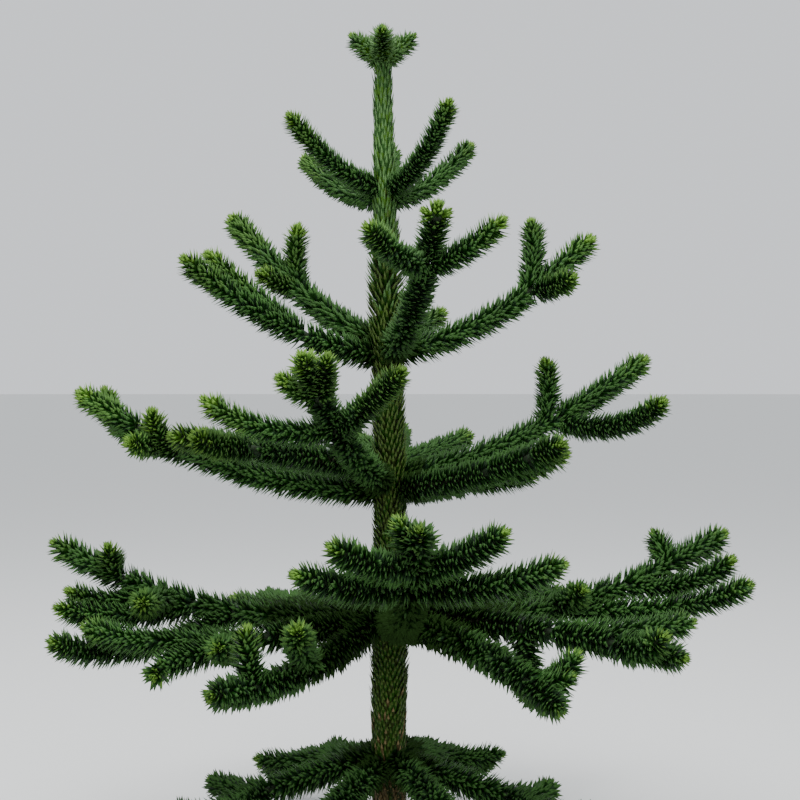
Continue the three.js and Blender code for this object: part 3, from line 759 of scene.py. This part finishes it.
def tube(shoot, first, last, points, sides, scale):
    """A round limb along a shoot, as a curve with a thickness at each of its points."""
    bpy.ops.curve.primitive_bezier_curve_add()
    limb = bpy.context.object
    bpy.ops.object.mode_set(mode="EDIT")
    bpy.ops.curve.select_all(action="SELECT")
    bpy.ops.curve.subdivide(number_cuts=points - 2)
    bpy.ops.object.mode_set(mode="OBJECT")
    distances = np.linspace(first, last, points)
    distances[-2] = last - min(last - first, TIP_ZONE) / 4
    places, along, _, _ = shoot.at(distances)
    radii = shoot.wood(distances) * scale
    for index, knot in enumerate(limb.data.splines[0].bezier_points):
        knot.handle_left_type = knot.handle_right_type = "FREE"
        back = distances[index] - distances[max(index - 1, 0)]
        forth = distances[min(index + 1, points - 1)] - distances[index]
        knot.co = places[index]
        knot.handle_left = places[index] - along[index] * back / 3
        knot.handle_right = places[index] + along[index] * forth / 3
        knot.radius = radii[index]
    limb.data.dimensions = "3D"
    limb.data.bevel_depth = 1
    limb.data.bevel_resolution = sides // 2 - 2
    limb.data.resolution_u = LIMB_FINENESS
    limb.data.use_fill_caps = True
    return limb


def join_as_mesh(limbs):
    """Curves turned into meshes and joined into one piece."""
    start_afresh()
    for limb in limbs:
        limb.select_set(True)
    bpy.context.view_layer.objects.active = limbs[0]
    bpy.ops.object.convert(target="MESH")
    bpy.ops.object.join()
    joined = bpy.context.object
    place_in_mesh(joined)
    face_outwards(joined)
    return joined


# Leaves
LEAF_SECTIONS = ((0.18, 0.5, 0.0), (0.58, 0.34, 0.04))  # along the leaf, half width, rise
LEAF_TIP_RISE = 0.12
LEAF_ROOT = -0.06                 # the leaf narrows to a point this far inside the wood
LEAF_KEEL = 0.045                 # the keel under the leaf
EDGE_RISE = 0.03                  # how far the edges curl up
# the tip's faces take the lighter tip colours: partly the points' own paler colour, partly painted light
TIP_START = 0.99                  # faces that reach past this are the tip's
SAME_PLACE = 1e-4


def model_leaf():
    """One leaf, a closed blade of twelve faces, of length and width one, pointing along +Y."""
    start_afresh()
    first, second = LEAF_SECTIONS
    bpy.ops.mesh.primitive_circle_add(
        vertices=3, radius=first[1], fill_type="NOTHING", rotation=(-math.pi / 2, 0, 0),
        location=(0, first[0], first[2]))
    leaf = bpy.context.object
    place_in_mesh(leaf)
    edit_all(leaf)
    extrude((0, second[0] - first[0], second[2] - first[2]))
    narrower = second[1] / first[1]
    bpy.ops.transform.resize(value=(narrower, 1, narrower), center_override=(0, second[0], second[2]))
    extrude((0, 1 - second[0], LEAF_TIP_RISE - second[2]))
    bpy.ops.mesh.merge(type="CENTER")
    bpy.ops.object.mode_set(mode="OBJECT")
    for vertex in leaf.data.vertices:
        vertex.select = abs(vertex.co.y - first[0]) < SAME_PLACE
    for edge in leaf.data.edges:
        edge.select = all(leaf.data.vertices[index].select for index in edge.vertices)
    bpy.ops.object.mode_set(mode="EDIT")
    extrude((0, LEAF_ROOT - first[0], -first[2]))
    bpy.ops.mesh.merge(type="CENTER")
    bpy.ops.mesh.select_all(action="SELECT")
    bpy.ops.mesh.normals_make_consistent(inside=False)
    bpy.ops.mesh.quads_convert_to_tris()
    bpy.ops.object.mode_set(mode="OBJECT")
    for along, half_width, rise in LEAF_SECTIONS:
        share = half_width / first[1]
        for vertex in leaf.data.vertices:
            if abs(vertex.co.y - along) > SAME_PLACE:
                continue
            if abs(vertex.co.x) > SAME_PLACE:
                vertex.co.x = math.copysign(half_width, vertex.co.x)
                vertex.co.z = rise + EDGE_RISE * share
            else:
                vertex.co.z = rise - LEAF_KEEL * share
    return leaf


class LeafShape:
    """The modelled leaf's vertices, faces and which of them are its tip."""

    def __init__(self):
        leaf = model_leaf()
        self.points = coordinates(leaf.data)
        faces = np.empty(len(leaf.data.polygons) * 3, int)
        leaf.data.polygons.foreach_get("vertices", faces)
        self.faces = faces.reshape(-1, 3)
        self.is_tip = self.points[self.faces][:, :, 1].max(axis=1) > TIP_START
        bpy.data.objects.remove(leaf)


class Leaves(namedtuple("Leaves", "roots along across lengths widths second")):
    """Where many leaves grow: their roots, axes, lengths, widths and which have the second shade."""

    def chosen(self, which):
        """Some of the leaves."""
        return Leaves(*(column[which] for column in self))

    def places(self, share):
        """Points part of the way along each leaf."""
        return self.roots + self.along * (self.lengths * share)[:, None]


def join_leaves(groups):
    """Several groups of leaves as one."""
    return Leaves(*(np.concatenate(column) for column in zip(*groups)))


def leaves_mesh(name, leaves, shape, materials):
    """One mesh of many leaves, with the two shades of blade and the tip as its materials."""
    over = np.cross(leaves.across, leaves.along)
    lengths = leaves.lengths[:, None, None]
    x, y, z = (shape.points[None, :, axis, None] for axis in range(3))
    points = leaves.roots[:, None] + lengths * (
        x * (leaves.across * leaves.widths[:, None])[:, None] + y * leaves.along[:, None] + z * over[:, None])
    count = len(leaves.roots)
    faces = shape.faces[None] + np.arange(count)[:, None, None] * len(shape.points)
    # slot 2, the tip, carries the lighter tip colour, partly painted light
    slots = np.where(shape.is_tip[None], 2, leaves.second[:, None].astype(int))
    mesh = bpy.data.meshes.new(name)
    mesh.vertices.add(count * len(shape.points))
    mesh.vertices.foreach_set("co", points.ravel())
    mesh.loops.add(faces.size)
    mesh.loops.foreach_set("vertex_index", faces.ravel())
    mesh.polygons.add(faces.size // 3)
    mesh.polygons.foreach_set("loop_start", np.arange(0, faces.size, 3))
    mesh.polygons.foreach_set("material_index", slots.ravel())
    for material in materials:
        mesh.materials.append(material)
    mesh.update(calc_edges=True)
    mesh.validate()
    piece = bpy.data.objects.new(name, mesh)
    bpy.context.scene.collection.objects.link(piece)
    return piece


def wood_points():
    """Points along all the wood, with its radius there and the shoot it belongs to."""
    places, radii, owners = [], [], []
    for index, shoot in enumerate(SHOOTS):
        distances = np.arange(0, shoot.wood_end, WOOD_SAMPLE)
        places.append(shoot.at(distances)[0])
        radii.append(shoot.wood(distances))
        owners.append(np.full(len(distances), index))
    return np.concatenate(places), np.concatenate(radii), np.concatenate(owners)


def in_other_wood(points, own, wood, clearance, by_trunk=True):
    """Which points lie within a clearance of another shoot's wood, or of the trunk's."""
    places, radii, owners = wood
    low, high = points.min(axis=0) - WOOD_NEARBY, points.max(axis=0) + WOOD_NEARBY
    near = (owners != own) & (places > low).all(axis=1) & (places < high).all(axis=1)
    inside = np.zeros(len(points), bool)
    if near.any():
        distances = np.linalg.norm(points[:, None] - places[near][None], axis=2)
        inside = (distances < radii[near][None] + clearance).any(axis=1)
    if by_trunk:
        shift, radius, _ = trunk_at(points[:, 2])
        from_axis = np.hypot(points[:, 0] - shift, points[:, 1])
        inside |= (from_axis < radius + clearance) & (points[:, 2] < TRUNK_TOP)
    return inside


def axes_of_leaves(along, outward, spreads, random, tilt=LEAF_TILT):
    """Each leaf's own direction and the direction across its blade, a little uneven."""
    count = len(along)
    spreads = spreads + random.normal(0, tilt, count)
    across = np.cross(outward, along)
    leaf_along = along * np.cos(spreads)[:, None] + outward * np.sin(spreads)[:, None]
    leaf_along = unit(leaf_along + across * random.normal(0, tilt, count)[:, None])
    over = np.cross(across, leaf_along)
    across = unit(across + over * random.normal(0, 2 * tilt, count)[:, None])
    across = unit(across - leaf_along * (across * leaf_along).sum(axis=1, keepdims=True))
    return leaf_along, across


def spreads_and_lengths(shoot, distances, radii, sizes, random):
    """How far each leaf of a shoot leans out, and how long it is, closing towards the tip."""
    opened = np.clip((shoot.wood_end - distances) / (TIP_ZONE * shoot.slenderness), 0, 1)
    opened = opened * opened * (3 - 2 * opened)
    spreads = TIP_SPREAD + (sizes.leaf_spread - TIP_SPREAD) * opened
    spreads[-BUD_LEAVES:] = np.linspace(TIP_SPREAD, BUD_SPREAD, BUD_LEAVES)
    curl = math.sin(sizes.leaf_spread) - LEAF_TIP_RISE * math.cos(sizes.leaf_spread)
    full = (shoot.reach(distances) * POINT_EXCESS - radii) / curl
    closed = TIP_LEAF * shoot.slenderness
    lengths = (closed + (full - closed) * opened) * random.uniform(
        1 - LEAF_UNEVENNESS, 1 + LEAF_UNEVENNESS, len(distances))
    if shoot.pressed:
        loose = np.clip(distances / shoot.pressed, 0, 1) ** 2
        spreads = PRESSED_SPREAD + (spreads - PRESSED_SPREAD) * loose
        lengths = PRESSED_LEAF + (lengths - PRESSED_LEAF) * loose
    return spreads, lengths


def leaves_on(index, wood, sizes):
    """The leaves of one shoot, how far along it each stands, and the shoot's random numbers."""
    shoot = SHOOTS[index]
    random = np.random.RandomState(LEAF_SEED + index)
    spacing = sizes.leaf_spacing * shoot.slenderness
    count = int(shoot.wood_end / spacing) + BUD_LEAVES
    distances = (np.arange(count) + random.uniform(0, LEAF_SHIFT, count)) * spacing
    distances = np.minimum(distances, shoot.wood_end - LAST_LEAF)
    turns = np.arange(count) * GOLDEN_ANGLE + random.normal(0, LEAF_STRAY, count)
    places, along, side, over = shoot.at(distances)
    outward = side * np.cos(turns)[:, None] + over * np.sin(turns)[:, None]
    radii = shoot.wood(distances) * sizes.twig_thickness
    spreads, lengths = spreads_and_lengths(shoot, distances, radii, sizes, random)
    leaf_along, across = axes_of_leaves(along, outward, spreads, random)
    roots = places + outward * (radii - LEAF_SINK)[:, None]
    widths = np.full(count, sizes.leaf_width)
    leaves = Leaves(roots, leaf_along, across, lengths, widths, random.rand(count) < SECOND_SHADE)
    blocked = in_other_wood(roots + outward * LEAF_SINK, index, wood, 0)
    for share in CLEAR_SHARES:
        blocked |= in_other_wood(leaves.places(share), index, wood, CLEARANCE)
    return leaves.chosen(~blocked), distances[~blocked], random


def kinds_on(index, distances, random):
    """Which leaves of a shoot are the leader's, inner, fresh or young, by their place along it."""
    shoot = SHOOTS[index]
    left = shoot.wood_end - distances
    freshness = RING_FRESHNESS[shoot.ring] * SIDE_FRESHNESS[shoot.hand]
    tip_height = shoot.at(np.array([shoot.wood_end]))[0][0, 2]
    # lower tips, in shade, get fewer of the lighter leaves, as painted shade
    freshness *= np.interp(tip_height, SHADED_HEIGHTS, (SHADED_FRESHNESS, 1))
    fresh_end = random.uniform(*FRESH_LENGTHS) * freshness
    young_end = fresh_end + random.uniform(*YOUNG_LENGTHS) * freshness
    stray = random.normal(0, KIND_STRAY, len(left))
    leader = distances < shoot.pressed
    if shoot.ring == "crown":
        leader |= left > young_end
    fresh = (left + stray < fresh_end) & ~leader
    young = (left + YOUNG_STRAY * stray < young_end) & ~fresh & ~leader
    # leaves near the trunk take the inner kind's darker colours, as painted shade
    places = shoot.at(distances)[0]
    from_trunk = np.hypot(places[:, 0], places[:, 1]) * (1 + INNER_STRAY * stray)
    inner_reach = INNER_REACHES.get(shoot.node.removesuffix("_foliage"), INNER_REACHES[shoot.ring])
    inner = (from_trunk < inner_reach) & ~fresh & ~young
    return leader, inner, fresh, young


# Operators
class TreeOperator:
    """What the tree's operators share."""

    bl_options = {"REGISTER", "UNDO"}

    def execute(self, context):
        """Builds the piece with the scene's sizes and colours."""
        self.build(context.scene.tree_sizes, context.scene.tree_colours)
        return {"FINISHED"}


class MONKEY_PUZZLE_OT_trunk_bark(TreeOperator, bpy.types.Operator):
    """Model the trunk with its flared foot, its taper and the bark's leaf bases"""

    bl_idname = "monkey_puzzle.trunk_bark"
    bl_label = "Trunk bark"

    def build(self, sizes, colours):
        """The trunk's bark in place of the plain trunk."""
        trunk = model_trunk(sizes)
        trunk.data.materials.append(
            bark_material("trunk_bark", colours.bark, colours.bark_shadow, scale=60, depth=0.002))
        finished(trunk, "trunk_bark", "bark", "trunk")


class MONKEY_PUZZLE_OT_bough_bark(TreeOperator, bpy.types.Operator):
    """Model the bark of the boughs that carry the foliage"""

    bl_idname = "monkey_puzzle.bough_bark"
    bl_label = "Bough bark"

    def build(self, sizes, colours):
        """The boughs' bark in place of the plain boughs."""
        start_afresh()
        boughs = [shoot for shoot in SHOOTS if shoot.limb and shoot.bough_node]
        piece = join_as_mesh([
            tube(shoot, 0, shoot.length * shoot.bough, points=6, sides=16, scale=sizes.twig_thickness)
            for shoot in boughs])
        knobs = bpy.data.textures.new("bark_knobs", "VORONOI")
        knobs.noise_scale = 0.009
        relief = piece.modifiers.new("relief", "DISPLACE")
        relief.texture = knobs
        relief.strength = -sizes.bark_relief / 2
        relief.mid_level = 0.3
        apply_modifiers(piece)
        piece.data.materials.append(
            bark_material("bough_bark", colours.bark, colours.bark_shadow, scale=90, depth=0.001))
        finished(piece, "bough_bark", "bark", *[shoot.bough_node for shoot in boughs])


class MONKEY_PUZZLE_OT_twigs(TreeOperator, bpy.types.Operator):
    """Model the green twigs inside the foliage"""

    bl_idname = "monkey_puzzle.twigs"
    bl_label = "Twigs"

    def build(self, sizes, colours):
        """The wood of every shoot that isn't a bough."""
        start_afresh()
        limbs = []
        for shoot in SHOOTS:
            first = shoot.length * shoot.bough if shoot.limb else 0
            limbs.append(tube(
                shoot, first, shoot.wood_end, points=8, sides=8, scale=sizes.twig_thickness))
        piece = join_as_mesh(limbs)
        piece.data.materials.append(
            bark_material("twig_skin", colours.old_leaf, colours.bark_shadow, scale=120, depth=0.0005))
        finished(piece, "twigs", "bark")


class MONKEY_PUZZLE_OT_shoot_leaves(TreeOperator, bpy.types.Operator):
    """Grow the old, young and fresh leaves of every shoot"""

    bl_idname = "monkey_puzzle.shoot_leaves"
    bl_label = "Shoot leaves"

    def build(self, sizes, colours):
        """The leaves of all the foliage, joined by ring and kind."""
        wood = wood_points()
        shape = LeafShape()
        sprays = {}
        nodes = {}
        for index, shoot in enumerate(SHOOTS):
            leaves, distances, random = leaves_on(index, wood, sizes)
            leader, inner, fresh, young = kinds_on(index, distances, random)
            old_piece = f"{shoot.ring}_{shoot.hand}_old_leaves"
            kinds = (("old", ~leader & ~inner & ~fresh & ~young, old_piece),
                     ("inner", inner, f"{shoot.ring}_inner_leaves"),
                     ("young", young, f"{shoot.ring}_young_leaves"),
                     ("fresh", fresh, "fresh_leaves"),
                     ("leader", leader, "crown_leader_leaves"))
            for kind, which, name in kinds:
                if which.any():
                    sprays.setdefault((kind, name), []).append(leaves.chosen(which))
            nodes.setdefault(old_piece, set()).add(shoot.node)
        slots = {"inner": "foliage", "old": "foliage", "young": "young_foliage",
                 "fresh": "fresh_foliage", "leader": "fresh_foliage"}
        for (kind, name), groups in sprays.items():
            piece = leaves_mesh(name, join_leaves(groups), shape, kind_materials(kind, colours))
            finished(piece, name, slots[kind], *sorted(nodes.get(name, ())))


def kind_materials(kind, colours):
    """The materials of a kind of leaf."""
    sheen = INNER_SHEEN if kind == "inner" else LEAF_SHEEN
    return [leaf_material(name, getattr(colours, name), sheen) for name in LEAF_KINDS[kind]]


class MONKEY_PUZZLE_OT_trunk_leaves(TreeOperator, bpy.types.Operator):
    """Grow the leaves that still clothe the trunk, from dried ones at the foot to the leader's"""

    bl_idname = "monkey_puzzle.trunk_leaves"
    bl_label = "Trunk leaves"

    def build(self, sizes, colours):
        """The trunk's leaves, pressed upwards against it."""
        shape = LeafShape()
        wood = wood_points()
        heights, turns = trunk_leaf_roots(sizes.trunk_leaf_gap)
        random = np.random.RandomState(LEAF_SEED - 1)
        kept = heights > TRUNK_LEAF_FOOT
        heights, turns = heights[kept], turns[kept]
        shift, radii, reaches = trunk_at(heights)
        count = len(heights)
        outward = np.stack((np.cos(turns), np.sin(turns), np.zeros(count)), axis=1)
        along = np.broadcast_to(np.array((0.0, 0.0, 1.0)), outward.shape)
        lengths = np.interp(heights, LONG_LEAVES, (sizes.trunk_leaf_length, PRESSED_LEAF))
        lengths = lengths * random.uniform(*TRUNK_LEAF_LENGTHS, count)
        excess = np.interp(heights, (LEADER_FOOT, TRUNK_TOP), (TRUNK_POINT_EXCESS, 1))
        spreads = np.arcsin(np.clip(reaches * excess / lengths, *TRUNK_LEAF_SLOPES))
        leaf_along, across = axes_of_leaves(along, outward, spreads, random, LEAF_TILT / 2)
        centres = np.stack((shift, np.zeros(count), heights), axis=1)
        roots = centres + outward * (radii + sizes.bark_relief - LEAF_SINK)[:, None]
        widths = TRUNK_LEAF_WIDTH / lengths
        leaves = Leaves(roots, leaf_along, across, lengths, widths, random.rand(count) < SECOND_SHADE)
        blocked = np.zeros(count, bool)
        for share in TRUNK_CLEAR_SHARES:
            blocked |= in_other_wood(leaves.places(share), NO_SHOOT, wood, 0, by_trunk=False)
        stray = random.normal(0, 1, count)
        dried = heights + DRIED_STRAY * stray < DRIED_TOP
        leader = heights + LEADER_STRAY * stray > LEADER_FOOT
        kinds = (("dried", dried, "dried_leaves", "foliage"),
                 ("trunk", ~dried & ~leader, "trunk_leaves", "foliage"),
                 ("leader", leader, "leader_leaves", "fresh_foliage"))
        for kind, which, name, slot in kinds:
            chosen = leaves.chosen(which & ~blocked)
            finished(leaves_mesh(name, chosen, shape, kind_materials(kind, colours)), name, slot)


class MONKEY_PUZZLE_OT_stage(TreeOperator, bpy.types.Operator):
    """Set up the plain floor, the soft light and the camera"""

    bl_idname = "monkey_puzzle.stage"
    bl_label = "Stage"

    def build(self, sizes, colours):
        """The floor, the world, the lights and the camera."""
        start_afresh()
        bpy.ops.mesh.primitive_circle_add(vertices=96, radius=FLOOR_RADIUS, fill_type="NGON")
        floor = bpy.context.object
        floor.name = "floor"
        material, shader = plain_material("floor")
        if shader:
            fill_sockets(material.node_tree, shader, {
                "Base Color": (*colours.floor, 1), "Roughness": 0.9})
        floor.data.materials.append(material)
        world = bpy.data.worlds.new("pale_sky")
        bpy.context.scene.world = world
        world.use_nodes = True
        background = world.node_tree.nodes["Background"]
        fill_sockets(world.node_tree, background, {"Color": SKY_COLOUR, "Strength": 1})
        for light in LIGHTS:
            add_light(*light)
        bpy.ops.object.camera_add(location=EYE, rotation=(math.pi / 2 + EYE_PITCH, 0, 0))
        camera = bpy.context.object
        camera.name = "camera"
        camera.data.lens = LENS
        camera.data.sensor_width = SENSOR
        bpy.context.scene.camera = camera


def add_light(name, place, width, power):
    """A large soft light that faces the tree's middle."""
    bpy.ops.object.light_add(type="AREA", location=place)
    light = bpy.context.object
    light.name = name
    light.data.size = width
    light.data.energy = power
    aim = np.subtract(LIGHTS_AIM, place)
    level = math.hypot(aim[0], aim[1])
    light.rotation_euler = (math.atan2(level, -aim[2]), 0, math.atan2(-aim[0], aim[1]))


class MONKEY_PUZZLE_PT_panel(bpy.types.Panel):
    """The tree's pieces, sizes and colours in the sidebar"""

    bl_label = "Monkey puzzle tree"
    bl_idname = "MONKEY_PUZZLE_PT_panel"
    bl_space_type = "VIEW_3D"
    bl_region_type = "UI"
    bl_category = "Monkey puzzle"

    def draw(self, context):
        """Lists the operators, then what a user may change."""
        for operator in OPERATORS:
            self.layout.operator(operator.bl_idname)
        for group in (context.scene.tree_sizes, context.scene.tree_colours):
            for name in group.bl_rna.properties.keys():
                if name not in ("rna_type", "name"):
                    self.layout.prop(group, name)


OPERATORS = (
    MONKEY_PUZZLE_OT_stage,
    MONKEY_PUZZLE_OT_trunk_bark,
    MONKEY_PUZZLE_OT_bough_bark,
    MONKEY_PUZZLE_OT_twigs,
    MONKEY_PUZZLE_OT_shoot_leaves,
    MONKEY_PUZZLE_OT_trunk_leaves,
)
CLASSES = (TreeSizes, TreeColours, *OPERATORS, MONKEY_PUZZLE_PT_panel)


def register():
    """Makes the classes and the tree's settings known to Blender."""
    for each in CLASSES:
        bpy.utils.register_class(each)
    bpy.types.Scene.tree_sizes = bpy.props.PointerProperty(type=TreeSizes)
    bpy.types.Scene.tree_colours = bpy.props.PointerProperty(type=TreeColours)


def unregister():
    """Takes the tree's settings and classes away again."""
    del bpy.types.Scene.tree_colours
    del bpy.types.Scene.tree_sizes
    for each in reversed(CLASSES):
        bpy.utils.unregister_class(each)


def main():
    """Builds the tree and its stage."""
    register()
    bpy.ops.monkey_puzzle.stage()
    bpy.ops.monkey_puzzle.trunk_bark()
    bpy.ops.monkey_puzzle.bough_bark()
    bpy.ops.monkey_puzzle.twigs()
    bpy.ops.monkey_puzzle.shoot_leaves()
    bpy.ops.monkey_puzzle.trunk_leaves()


if __name__ == "__main__":
    main()
